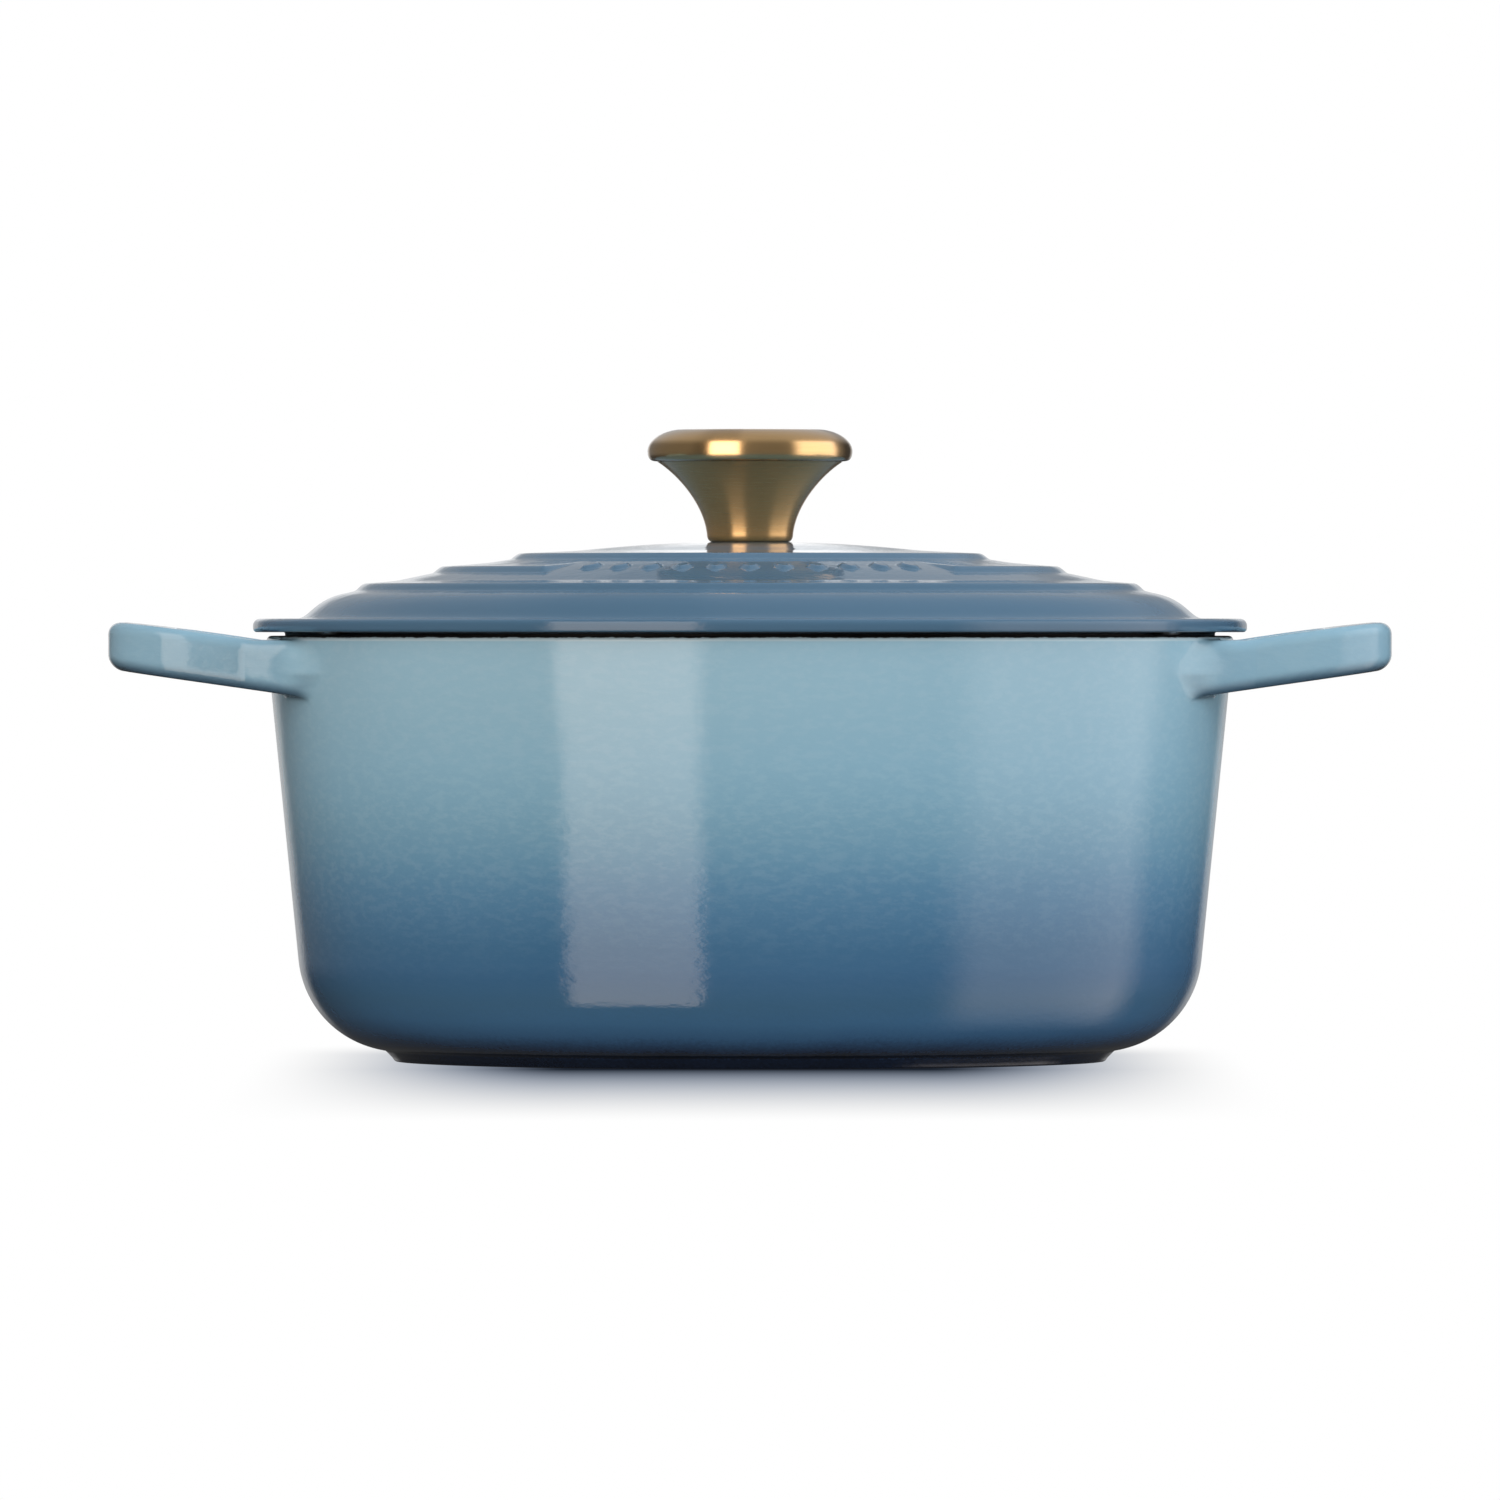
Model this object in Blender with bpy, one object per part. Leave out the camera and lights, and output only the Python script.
"""A round enamelled cast iron dutch oven: pot casting with loop handles, lid casting, screwed-on metal knob.

Metres, +Z up. The origin is on the surface that the pot stands on, at the middle of its foot ring.
+X runs through one handle, and -Y is the front, where the lid carries its raised row of lozenges.
"""

from math import acos, asin, atan2, cos, hypot, pi, radians, sin, sqrt, tan

import bmesh
import bpy
from mathutils import Vector

MM = 0.001

# Pot casting
RIM_RADIUS = 134.5 * MM            # outside of the wall at the rim
POT_HEIGHT = 118.3 * MM            # rim top above the table
WALL_TAPER = radians(5.65)         # the wall leans in towards the base
CORNER_RADIUS = 28.0 * MM          # outside corner between wall and base
WALL_THICKNESS = 3.1 * MM
RIM_THICKNESS = 4.3 * MM
RIM_BAND = 14.0 * MM               # height over which the wall thickens to the rim
LIP_ROUND = 1.5 * MM
BASE_THICKNESS = 3.8 * MM
FOOT_HEIGHT = 2.8 * MM
FOOT_INSET = 33.0 * MM             # foot ring's outer edge, in from the rim radius
FOOT_WIDTH = 8.0 * MM
FOOT_BEVEL = 1.0 * MM
FOOT_SLANT = 2.2 * MM              # the foot ring's side leans in by this much
BASE_RECESS = 1.2 * MM             # the middle of the base stays this far off the table

# Loop handles, cast in one with the wall
HANDLE_REACH = 43.8 * MM           # nose of the loop beyond the rim radius
LOOP_HALF_WIDTH = 47.5 * MM        # half the loop's width at its corners
ROOT_HALF_WIDTH = 58.0 * MM        # half the width where the arms run into the wall
LOOP_CORNER = 25.0 * MM            # plan radius of the outer corners
LOOP_DRAFT = radians(4)            # the arms spread by this much towards the wall
GRIP_DEPTH = 20.0 * MM             # of the bar that the hand closes on
GAP_HALF_WIDTH = 36.0 * MM         # half the width of the finger gap
GAP_CORNER = 10.0 * MM
GAP_ROOT_FLARE = 7.0 * MM          # the arms widen into the finger gap by this much at the wall
ROOT_LENGTH = 10.0 * MM            # length of the arm over which the root flares
NOSE_BOW = 0.7 * MM                # the front edge of the loop is bowed by this much
HANDLE_DROP = 1.2 * MM             # handle's top below the rim, at the root
ROOT_THICKNESS = 14.1 * MM
HANDLE_RISE = 4.9 * MM             # the loop's top rises by this much towards its nose
UNDER_RISE = 6.2 * MM              # and its straight underside by this much
RISE_START, RISE_END = 0.05, 0.9   # where along the reach the top's rise begins and ends
RISE_BOW = 0.2                     # how far the top bows up over a straight rise
TOP_ROUND = 3.0 * MM
UNDER_ROUND = 4.0 * MM

# Lid casting
LID_OVERHANG = 3.7 * MM            # flange edge beyond the rim radius
LID_GAP = 1.0 * MM                 # flange underside above the rim
FLANGE_THICKNESS = 3.8 * MM
LID_RISE = 25.2 * MM               # top of the dome above the flange's underside
SHOULDER_RISE = 10.9 * MM          # dome height at the shoulder, above the flange's underside
SHOULDER_INSET = 22.5 * MM         # where the dome ends, in from the rim radius
SHOULDER_WIDTH = 13.5 * MM         # from the shoulder out to the flange's flat
LID_THICKNESS = 3.8 * MM
FLANGE_FALL = 0.3 * MM             # the flange's top falls by this much to its edge
RING_PITCH = 21.5 * MM             # between the feet of neighbouring ring terraces
RING_INSET = 24.5 * MM             # foot of the outermost terrace, in from the rim radius
RING_WIDTHS = (20.0 * MM, 16.5 * MM, 12.0 * MM)   # inner, middle and outer terrace
RING_STEP = 1.25 * MM              # how far a terrace's edge stands over the dome
RING_EDGE = 3.6 * MM               # width of a terrace's rounded step
RING_GAP_ANGLE = radians(40)       # half the front gap in the middle terrace
SPIGOT_CLEARANCE = 0.9 * MM        # between the locating spigot and the inside of the rim
SPIGOT_DEPTH = 6.0 * MM            # spigot below the flange
SPIGOT_THICKNESS = 3.4 * MM
SPIGOT_BEVEL = 1.0 * MM
PAD_COUNT = 3
PAD_SIZE = 7.0 * MM
SEAT_GAP = 0.3 * MM                # left between pieces that rest on each other
LOZENGE_COUNT = 11
LOZENGE_SPREAD = radians(33)       # half the angle that the row of lozenges covers
LOZENGE_LENGTH = 8.6 * MM          # along the radius
LOZENGE_WIDTH = 5.0 * MM
LOZENGE_HEIGHT = 0.9 * MM
LOZENGE_ROOT = 0.9 * MM            # how deep a lozenge reaches into the dome

# Knob
KNOB_RADIUS = 28.5 * MM
KNOB_HEIGHT = 31.2 * MM            # top of the knob above the lid
CAP_DEPTH = 8.9 * MM               # top of the knob down to the seam with the neck
CAP_CROWN = 6.2 * MM               # height of the cap's rounded shoulder
CAP_SHOULDER = 10.0 * MM           # width of that shoulder
CAP_LIP = 2.5 * MM                 # the cap's lower lip turns in by this much
NECK_RADIUS = 12.0 * MM            # of the neck's foot
NECK_TOP_INSET = 2.7 * MM          # neck's top edge, in from the knob radius
SHELL = 1.3 * MM                   # sheet of the cap and the neck
NECK_FOOT = 1.5 * MM               # thickness of the turned-in foot
NECK_FOOT_ROUND = 0.5 * MM
INSERT_RADIUS = 5.0 * MM
COLLAR_RADIUS = 8.5 * MM           # collar of the insert, which clamps the neck's foot
COLLAR_HEIGHT = 2.0 * MM
WELD_DISC_RADIUS = 11.0 * MM       # disc at the insert's top, under the cap
WELD_DISC_HEIGHT = 1.4 * MM

# Screw and washer
SCREW_RADIUS = 2.5 * MM
THREAD_CLEARANCE = 0.3 * MM        # between the screw and the bores around it
SCREW_ENGAGEMENT = 12.0 * MM       # screw length inside the insert
SCREW_HEAD_RADIUS = 4.8 * MM
SCREW_HEAD_HEIGHT = 3.2 * MM
SCREW_TIP_BEVEL = 0.6 * MM
RECESS_DEPTH = 1.7 * MM
RECESS_WIDTH = 1.1 * MM
WASHER_RADIUS = 7.0 * MM
WASHER_THICKNESS = 1.0 * MM

# Facets
BODY_STEPS = 64
LID_STEPS = 72
KNOB_STEPS = 40
SCREW_STEPS = 24
LOZENGE_STEPS = 12

# Levels that several pieces share
FLANGE_Z = POT_HEIGHT + LID_GAP
DOME_TOP = FLANGE_Z + LID_RISE
LID_UNDER = DOME_TOP - LID_THICKNESS
KNOB_TOP = DOME_TOP + KNOB_HEIGHT
SEAM_Z = KNOB_TOP - CAP_DEPTH
FOOT_TOP = DOME_TOP + SEAT_GAP + NECK_FOOT
SCREW_HOLE = SCREW_RADIUS + 2 * THREAD_CLEARANCE
RIM_INNER = RIM_RADIUS - RIM_THICKNESS


def arc(centre, radius_r, radius_z, start, end, steps):
    """Points on an elliptic arc in the (r, z) plane, both ends included."""
    turns = [start + (end - start) * i / steps for i in range(steps + 1)]
    return [(centre[0] + radius_r * cos(a), centre[1] + radius_z * sin(a)) for a in turns]


def bezier(points, steps):
    """Points on a cubic Bezier curve, both ends included."""
    curve = []
    for i in range(steps + 1):
        t = i / steps
        weights = ((1 - t) ** 3, 3 * t * (1 - t) ** 2, 3 * t * t * (1 - t), t ** 3)
        curve.append(tuple(sum(w * p[k] for w, p in zip(weights, points)) for k in (0, 1)))
    return curve


def finish(name, color, roughness, metallic):
    """A plain material with one colour."""
    material = bpy.data.materials.new(name)
    material.use_nodes = True
    shader = material.node_tree.nodes["Principled BSDF"]
    shader.inputs["Base Color"].default_value = (*color, 1)
    shader.inputs["Roughness"].default_value = roughness
    shader.inputs["Metallic"].default_value = metallic
    return material


def placed(name, mesh, material):
    """An object in the scene with the mesh and the material."""
    piece = bpy.data.objects.new(name, mesh)
    bpy.context.scene.collection.objects.link(piece)
    if material:
        mesh.materials.append(material)
    return piece


def mesh_from(name, vertices, faces):
    """A mesh with outward faces, shaded smooth except at its real edges."""
    mesh = bpy.data.meshes.new(name)
    mesh.from_pydata(vertices, [], faces)
    shell = bmesh.new()
    shell.from_mesh(mesh)
    bmesh.ops.remove_doubles(shell, verts=shell.verts, dist=1e-6)
    bmesh.ops.recalc_face_normals(shell, faces=shell.faces)
    shell.to_mesh(mesh)
    shell.free()
    mesh.shade_smooth()
    mesh.set_sharp_from_angle(angle=radians(35))
    return mesh


def turned(name, outline_at, steps, material):
    """A closed (r, z) outline turned about Z. outline_at(angle) gives the outline at that angle."""
    vertices, faces = [], []
    for i in range(steps):
        turn = 2 * pi * i / steps
        vertices += [(r * cos(turn), r * sin(turn), z) for r, z in outline_at(turn)]
    count = len(vertices) // steps
    for i in range(steps):
        here, after = i * count, (i + 1) % steps * count
        for j in range(count):
            k = (j + 1) % count
            faces.append((here + j, after + j, after + k, here + k))
    return placed(name, mesh_from(name, vertices, faces), material)


def solid_turned(name, outline, steps, material):
    """A turned piece without a bore: the outline starts and ends on the axis, outer side first."""
    vertices = [(0, 0, outline[0][1]), (0, 0, outline[-1][1])]
    rim = outline[1:-1]
    for i in range(steps):
        turn = 2 * pi * i / steps
        vertices += [(r * cos(turn), r * sin(turn), z) for r, z in rim]
    faces = []
    for i in range(steps):
        here, after = 2 + i * len(rim), 2 + (i + 1) % steps * len(rim)
        faces.append((0, here, after))
        faces.append((1, after + len(rim) - 1, here + len(rim) - 1))
        for j in range(len(rim) - 1):
            faces.append((here + j, here + j + 1, after + j + 1, after + j))
    return placed(name, mesh_from(name, vertices, faces), material)


def combined(piece, other, operation):
    """The other solid added to the piece or cut from it, by a Boolean modifier that stays on the piece."""
    other.hide_render = True
    other.display_type = "WIRE"
    change = piece.modifiers.new(other.name, "BOOLEAN")
    change.operation = operation
    change.object = other


# Pot

def wall_radius(z):
    """Outside radius of the straight part of the pot wall."""
    return RIM_RADIUS - (POT_HEIGHT - z) * tan(WALL_TAPER)


def pot_outline():
    """Closed outline of the pot's wall and base, from the middle of the inside floor outwards."""
    corner_z = FOOT_HEIGHT + CORNER_RADIUS
    touch_z = corner_z - CORNER_RADIUS * sin(WALL_TAPER)
    corner_r = wall_radius(touch_z) - CORNER_RADIUS * cos(WALL_TAPER)
    foot_outer = RIM_RADIUS - FOOT_INSET
    foot_top = corner_z - sqrt(CORNER_RADIUS ** 2 - max(foot_outer - corner_r, 0) ** 2)
    floor_z = BASE_RECESS + BASE_THICKNESS
    inner_corner = corner_z - floor_z
    inner_reach = CORNER_RADIUS - WALL_THICKNESS

    outside = arc((corner_r, corner_z), CORNER_RADIUS, CORNER_RADIUS, -WALL_TAPER,
                  -acos(max(foot_outer - corner_r, 0) / CORNER_RADIUS), 8)
    inside = arc((corner_r, corner_z), inner_reach, inner_corner, -pi / 2, -WALL_TAPER, 7)
    lip = arc((RIM_RADIUS - LIP_ROUND, POT_HEIGHT - LIP_ROUND), LIP_ROUND, LIP_ROUND, pi / 2, 0, 3)
    inner_lip = arc((RIM_INNER + LIP_ROUND, POT_HEIGHT - LIP_ROUND), LIP_ROUND, LIP_ROUND, pi, pi / 2, 3)
    band_z = POT_HEIGHT - RIM_BAND
    return (
        [(0, floor_z)]
        + inside
        + [(wall_radius(band_z) - WALL_THICKNESS, band_z), (RIM_INNER, POT_HEIGHT - RIM_BAND / 2)]
        + inner_lip
        + lip
        + outside
        + [
            (foot_outer, foot_top - FOOT_BEVEL / 4),
            (foot_outer - FOOT_SLANT, FOOT_BEVEL),
            (foot_outer - FOOT_SLANT - FOOT_BEVEL, 0),
            (foot_outer - FOOT_WIDTH, 0),
            (foot_outer - FOOT_WIDTH - BASE_RECESS, BASE_RECESS),
            (0, BASE_RECESS),
        ]
    )


def flared(points, target, length):
    """Points of an arm's edge with the last stretch drawn out to the target on the wall."""
    start = points[-1]
    reach = hypot(target[0] - start[0], target[1] - start[1])
    ahead = Vector((start[0] - points[-2][0], start[1] - points[-2][1])).normalized()
    along_wall = Vector((-target[1], target[0])).normalized()
    side = 1 if target[1] > start[1] else -1
    handles = (
        start,
        (start[0] + ahead.x * reach / 2, start[1] + ahead.y * reach / 2),
        (target[0] - side * along_wall.x * length / 2, target[1] - side * along_wall.y * length / 2),
        target,
    )
    return points + bezier(handles, 4)[1:]


def handle_edges():
    """Outer and inner plan edges of half a loop, from its nose to its root in the wall, point by point."""
    nose = RIM_RADIUS + HANDLE_REACH
    root_radius = RIM_RADIUS - RIM_THICKNESS / 2 - HANDLE_DROP * tan(WALL_TAPER)
    corner = (nose - NOSE_BOW - LOOP_CORNER, LOOP_HALF_WIDTH - LOOP_CORNER)
    gap_corner = (nose - GRIP_DEPTH - GAP_CORNER, GAP_HALF_WIDTH - GAP_CORNER)
    arm_x = root_radius + ROOT_LENGTH / 2

    outer = [(nose, 0), (nose - NOSE_BOW / 4, corner[1] / 2)]
    outer += arc(corner, LOOP_CORNER, LOOP_CORNER, 0, pi / 2 - LOOP_DRAFT, 5)
    outer.append((arm_x, LOOP_HALF_WIDTH + (outer[-1][0] - arm_x) * tan(LOOP_DRAFT)))
    inner = [(nose - GRIP_DEPTH, 0), (nose - GRIP_DEPTH, gap_corner[1] / 2)]
    inner += arc(gap_corner, GAP_CORNER, GAP_CORNER, 0, radians(90), 5)
    inner.append((arm_x, GAP_HALF_WIDTH))

    outer_root = asin(ROOT_HALF_WIDTH / root_radius)
    inner_root = asin((GAP_HALF_WIDTH - GAP_ROOT_FLARE) / root_radius)
    outer = flared(outer, (root_radius * cos(outer_root), root_radius * sin(outer_root)), ROOT_LENGTH)
    inner = flared(inner, (root_radius * cos(inner_root), root_radius * sin(inner_root)), ROOT_LENGTH)
    return outer, inner


def handle_section(outer, inner):
    """A rounded section of the loop between an outer and an inner plan point."""
    span = Vector((outer[0] - inner[0], outer[1] - inner[1]))
    width = span.length
    points = []
    rounds = (
        (width - TOP_ROUND, -TOP_ROUND, TOP_ROUND, 90, 0, True),
        (width - UNDER_ROUND, UNDER_ROUND, UNDER_ROUND, 0, -90, False),
        (UNDER_ROUND, UNDER_ROUND, UNDER_ROUND, -90, -180, False),
        (TOP_ROUND, -TOP_ROUND, TOP_ROUND, 180, 90, True),
    )
    for across, up, radius, start, end, at_top in rounds:
        for s, dz in arc((across, up), radius, radius, radians(start), radians(end), 2):
            x = inner[0] + span.x * s / width
            y = inner[1] + span.y * s / width
            points.append((x, y, (handle_top(x) if at_top else handle_under(x)) + dz))
    return points


def handle_top(x):
    """Height of the loop's top, which bows up from its root to its nose."""
    t = ((x - RIM_RADIUS) / HANDLE_REACH - RISE_START) / (RISE_END - RISE_START)
    t = min(max(t, 0), 1)
    return POT_HEIGHT - HANDLE_DROP + HANDLE_RISE * t * (1 + RISE_BOW * (1 - t))


def handle_under(x):
    """Height of the loop's underside, which rises in a straight line."""
    return POT_HEIGHT - HANDLE_DROP - ROOT_THICKNESS + UNDER_RISE * (x - RIM_RADIUS) / HANDLE_REACH


def handle(side):
    """One loop handle as a bent bar with its two ends buried in the wall. side is 1 at +X and -1 at -X."""
    outer, inner = handle_edges()
    half = [handle_section(o, i) for o, i in zip(outer, inner)]
    mirrored = [[(x, -y, z) for x, y, z in section] for section in reversed(half[1:])]
    sections = mirrored + half
    vertices = [(side * x, y, z) for section in sections for x, y, z in section]
    count = len(sections[0])
    faces = [tuple(range(count)), tuple(range((len(sections) - 1) * count, len(sections) * count))]
    for i in range(len(sections) - 1):
        for j in range(count):
            k = (j + 1) % count
            faces.append((i * count + j, i * count + k, (i + 1) * count + k, (i + 1) * count + j))
    name = "handle_right" if side > 0 else "handle_left"
    return placed(name, mesh_from(name, vertices, faces), None)


def make_pot(material):
    pot = solid_turned("pot", pot_outline(), BODY_STEPS, material)
    for side in (1, -1):
        combined(pot, handle(side), "UNION")
    return pot


# Lid

SHOULDER_RADIUS = RIM_RADIUS - SHOULDER_INSET
DOME_SAG = LID_RISE - SHOULDER_RISE
DOME_RADIUS = (SHOULDER_RADIUS ** 2 + DOME_SAG ** 2) / (2 * DOME_SAG)


def dome_drop(r):
    """How far the dome has fallen at r, as a cap of a sphere."""
    return DOME_RADIUS - sqrt(DOME_RADIUS ** 2 - r * r)


def dome_z(r):
    return DOME_TOP - dome_drop(r)


def ring_outline(foot, width, raised):
    """A ring terrace: level from the dome out to its edge, then a rounded step down to its foot."""
    start, edge = foot - width, foot - RING_EDGE
    top = dome_z(edge) + RING_STEP
    step = (
        (edge, top),
        (edge + RING_EDGE / 2, top),
        (foot - RING_EDGE / 2, dome_z(foot)),
        (foot, dome_z(foot)),
    )
    points = [(start, dome_z(start)), ((start + edge) / 2, (dome_z(start) + top) / 2)]
    points += bezier(step, 3)
    return [(r, dome_z(r) + (z - dome_z(r)) * raised) for r, z in points]


def lid_outline(turn):
    """Closed outline of the lid at this angle about Z, down its outer side and back under it."""
    from_front = abs(atan2(sin(turn + pi / 2), cos(turn + pi / 2)))
    raised = 0 if from_front < RING_GAP_ANGLE + 1e-6 else 1
    edge = RIM_RADIUS + LID_OVERHANG
    flat = SHOULDER_RADIUS + SHOULDER_WIDTH
    flange_top = FLANGE_Z + FLANGE_THICKNESS
    spigot = RIM_INNER - SPIGOT_CLEARANCE
    hollow = spigot - SPIGOT_THICKNESS
    spigot_end = FLANGE_Z - SPIGOT_DEPTH

    points = [(SCREW_HOLE, DOME_TOP), (NECK_RADIUS * 2, dome_z(NECK_RADIUS * 2))]
    for i, width in enumerate(RING_WIDTHS):
        foot = RIM_RADIUS - RING_INSET - RING_PITCH * (len(RING_WIDTHS) - 1 - i)
        points += ring_outline(foot, width, raised if i == 1 else 1)
    shoulder = (
        (SHOULDER_RADIUS, dome_z(SHOULDER_RADIUS)),
        (SHOULDER_RADIUS + SHOULDER_WIDTH * 0.65, dome_z(SHOULDER_RADIUS) - SHOULDER_WIDTH * 0.11),
        (SHOULDER_RADIUS + SHOULDER_WIDTH * 0.75, flange_top + SHOULDER_WIDTH * 0.05),
        (flat, flange_top),
    )
    points += bezier(shoulder, 5)
    points += [
        (edge - FLANGE_THICKNESS / 2, flange_top - FLANGE_FALL),
        (edge - FLANGE_THICKNESS / 6, flange_top - FLANGE_THICKNESS / 4),
        (edge, FLANGE_Z + FLANGE_THICKNESS / 2),
        (edge - FLANGE_THICKNESS / 4, FLANGE_Z),
        (spigot, FLANGE_Z),
        (spigot, spigot_end + SPIGOT_BEVEL),
        (spigot - SPIGOT_BEVEL, spigot_end),
        (hollow + SPIGOT_BEVEL, spigot_end),
        (hollow, spigot_end + SPIGOT_BEVEL),
        (hollow - SPIGOT_BEVEL, FLANGE_Z),
    ]
    under_steps = 5
    for i in range(under_steps + 1):
        r = SHOULDER_RADIUS + (SCREW_HOLE - SHOULDER_RADIUS) * i / under_steps
        points.append((r, LID_UNDER - dome_drop(r)))
    return points


def lozenge(name, turn):
    """A low rounded lozenge that grows out of the dome in the front gap of the middle ring."""
    middle = RIM_RADIUS - RING_INSET - RING_PITCH - RING_WIDTHS[1] / 2
    rows = (
        (1.0, -LOZENGE_ROOT),
        (1.0, LOZENGE_HEIGHT / 3),
        (0.75, LOZENGE_HEIGHT * 0.8),
        (0.35, LOZENGE_HEIGHT),
    )
    vertices, faces = [], []
    for size, rise in rows:
        for i in range(LOZENGE_STEPS):
            a = 2 * pi * i / LOZENGE_STEPS
            r = middle + size * LOZENGE_LENGTH / 2 * cos(a)
            across = size * LOZENGE_WIDTH / 2 * sin(a)
            vertices.append((r * cos(turn) - across * sin(turn), r * sin(turn) + across * cos(turn),
                             dome_z(hypot(r, across)) + rise))
    for j in range(len(rows) - 1):
        low, high = j * LOZENGE_STEPS, (j + 1) * LOZENGE_STEPS
        for i in range(LOZENGE_STEPS):
            k = (i + 1) % LOZENGE_STEPS
            faces.append((low + i, low + k, high + k, high + i))
    faces.append(tuple(range(LOZENGE_STEPS)))
    faces.append(tuple(range(len(vertices) - LOZENGE_STEPS, len(vertices))))
    return placed(name, mesh_from(name, vertices, faces), None)


def rest_pad(name, turn):
    """A low pad under the flange, which the lid rests on."""
    middle = (RIM_RADIUS + RIM_INNER) / 2
    low = POT_HEIGHT + SEAT_GAP
    high = FLANGE_Z + FLANGE_THICKNESS / 2
    half_r = RIM_THICKNESS / 2 - LIP_ROUND / 2
    corners = []
    for z in (low, high):
        for r, across in ((-1, -1), (1, -1), (1, 1), (-1, 1)):
            x, y = middle + r * half_r, across * PAD_SIZE / 2
            corners.append((x * cos(turn) - y * sin(turn), x * sin(turn) + y * cos(turn), z))
    faces = [(0, 3, 2, 1), (4, 5, 6, 7), (0, 1, 5, 4), (1, 2, 6, 5), (2, 3, 7, 6), (3, 0, 4, 7)]
    return placed(name, mesh_from(name, corners, faces), None)


def make_lid(material):
    lid = turned("lid", lid_outline, LID_STEPS, material)
    for i in range(LOZENGE_COUNT):
        spread = LOZENGE_SPREAD * (2 * i / (LOZENGE_COUNT - 1) - 1)
        combined(lid, lozenge(f"lozenge_{i + 1}", -pi / 2 + spread), "UNION")
    for i in range(PAD_COUNT):
        combined(lid, rest_pad(f"rest_pad_{i + 1}", pi / 2 + 2 * pi * i / PAD_COUNT), "UNION")


# Knob

def neck_curve(offset):
    """The neck's flare from its top edge down to its foot, moved inwards by the offset."""
    foot_z = DOME_TOP + SEAT_GAP + NECK_FOOT_ROUND
    top = (KNOB_RADIUS - NECK_TOP_INSET, SEAM_Z - SEAT_GAP)
    height = top[1] - foot_z
    flare = top[0] - NECK_RADIUS
    curve = (
        top,
        (top[0] - flare * 0.44, top[1] - height * 0.19),
        (NECK_RADIUS + flare * 0.06, foot_z + height * 0.4),
        (NECK_RADIUS, foot_z),
    )
    return [(r - offset, z) for r, z in bezier(curve, 9)]


def make_knob_cap(material):
    shoulder = KNOB_RADIUS - CAP_SHOULDER
    belly_z = KNOB_TOP - CAP_CROWN
    lip_z = SEAM_Z
    top = arc((shoulder, belly_z), CAP_SHOULDER, CAP_CROWN, pi / 2, 0, 7)
    lip = arc((KNOB_RADIUS - CAP_LIP, belly_z), CAP_LIP, belly_z - lip_z, 0, -pi / 2, 4)
    inner = arc((shoulder, belly_z), CAP_SHOULDER - SHELL, CAP_CROWN - SHELL, 0, pi / 2, 6)
    outline = [(0, KNOB_TOP)] + top + lip[1:] + [(KNOB_RADIUS - CAP_LIP - SHELL, lip_z)]
    outline += inner + [(0, KNOB_TOP - SHELL)]
    solid_turned("knob_cap", outline, KNOB_STEPS, material)


def make_knob_neck(material):
    low = DOME_TOP + SEAT_GAP
    bore = INSERT_RADIUS + SEAT_GAP
    outer, inner = neck_curve(0), neck_curve(SHELL)
    inner = [(r, max(z, FOOT_TOP)) for r, z in reversed(inner) if z > FOOT_TOP]
    outline = outer + [(NECK_RADIUS - NECK_FOOT_ROUND, low), (bore, low), (bore, FOOT_TOP)]
    outline += [(NECK_RADIUS - SHELL, FOOT_TOP)] + inner
    turned("knob_neck", lambda turn: outline, KNOB_STEPS, material)


def make_knob_insert(material):
    """The threaded boss: a blind bore from below, a collar over the neck's foot, and a disc under the cap."""
    low = FOOT_TOP + SEAT_GAP
    top = KNOB_TOP - SHELL - SEAT_GAP
    bore = SCREW_RADIUS + THREAD_CLEARANCE
    bore_top = low + SCREW_ENGAGEMENT + THREAD_CLEARANCE
    outline = [
        (0, top),
        (WELD_DISC_RADIUS, top),
        (WELD_DISC_RADIUS, top - WELD_DISC_HEIGHT),
        (INSERT_RADIUS, top - WELD_DISC_HEIGHT),
        (INSERT_RADIUS, low + COLLAR_HEIGHT),
        (COLLAR_RADIUS, low + COLLAR_HEIGHT),
        (COLLAR_RADIUS, low),
        (bore, low),
        (bore, bore_top),
        (0, bore_top),
    ]
    solid_turned("knob_insert", outline, SCREW_STEPS, material)


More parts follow.
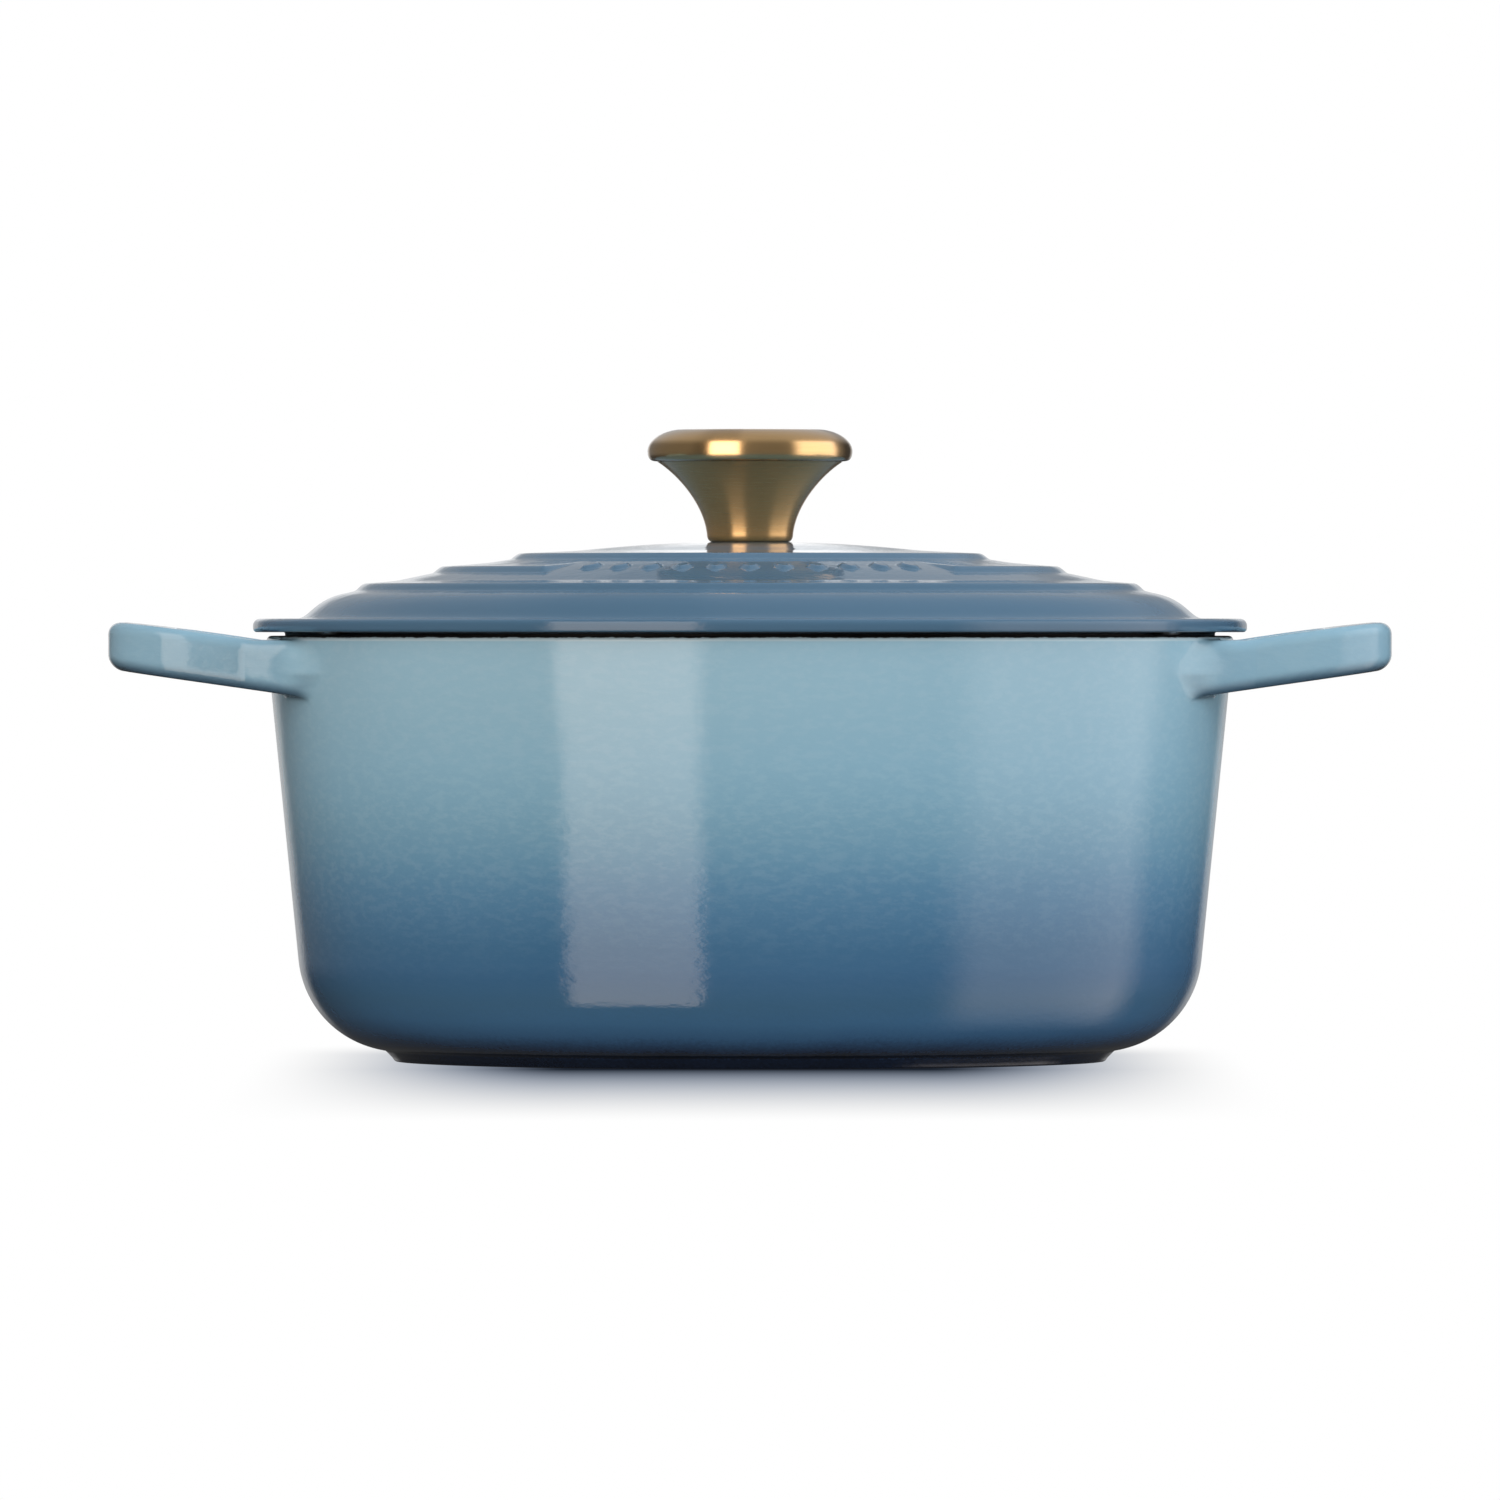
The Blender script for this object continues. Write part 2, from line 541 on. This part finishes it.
def make_screw(material):
    """A pan head machine screw with a cross recess, head down under the lid."""
    seat = LID_UNDER - 2 * SEAT_GAP - WASHER_THICKNESS
    low = seat - SCREW_HEAD_HEIGHT
    tip = FOOT_TOP + SEAT_GAP + SCREW_ENGAGEMENT
    outline = [
        (0, tip),
        (SCREW_RADIUS - SCREW_TIP_BEVEL, tip),
        (SCREW_RADIUS, tip - SCREW_TIP_BEVEL),
        (SCREW_RADIUS, seat),
        (SCREW_HEAD_RADIUS, seat),
    ]
    outline += arc((SCREW_HEAD_RADIUS * 0.45, seat - SCREW_HEAD_HEIGHT * 0.35), SCREW_HEAD_RADIUS * 0.55,
                   SCREW_HEAD_HEIGHT * 0.65, 0, -pi / 2, 4)
    outline.append((0, low))
    screw = solid_turned("lid_screw", outline, SCREW_STEPS, material)
    combined(screw, cross_recess(low), "DIFFERENCE")


def cross_recess(low):
    """The cutter for the screw head's cross recess: a plus sign, pulled up into the head."""
    long, short = SCREW_HEAD_RADIUS * 0.55, RECESS_WIDTH / 2
    quarter = ((long, -short), (long, short), (short, short))
    plus = list(quarter)
    for _ in range(3):
        plus += [(-y, x) for x, y in plus[-3:]]
    count = len(plus)
    vertices = [(x, y, z) for z in (low - RECESS_DEPTH, low + RECESS_DEPTH) for x, y in plus]
    faces = [tuple(reversed(range(count))), tuple(range(count, 2 * count))]
    faces += [(i, (i + 1) % count, count + (i + 1) % count, count + i) for i in range(count)]
    return placed("cross_recess", mesh_from("cross_recess", vertices, faces), None)


def make_washer(material):
    top = LID_UNDER - SEAT_GAP
    low = top - WASHER_THICKNESS
    bore = SCREW_RADIUS + THREAD_CLEARANCE
    outline = [(bore, top), (WASHER_RADIUS, top), (WASHER_RADIUS, low), (bore, low)]
    turned("screw_washer", lambda turn: outline, SCREW_STEPS, material)


def main():
    for old in list(bpy.data.objects):
        bpy.data.objects.remove(old, do_unlink=True)
    make_pot(finish("blue enamel, shaded", (0.13, 0.27, 0.38), 0.12, 0.0))
    make_lid(finish("blue enamel, lid", (0.07, 0.16, 0.26), 0.12, 0.0))
    make_knob_cap(finish("brushed gold", (0.65, 0.42, 0.17), 0.28, 1.0))
    make_knob_neck(finish("brushed gold, neck", (0.50, 0.38, 0.19), 0.25, 1.0))
    make_knob_insert(finish("turned steel", (0.55, 0.55, 0.56), 0.35, 1.0))
    make_screw(finish("screw steel", (0.62, 0.62, 0.63), 0.3, 1.0))
    make_washer(finish("washer steel", (0.6, 0.6, 0.6), 0.35, 1.0))


main()
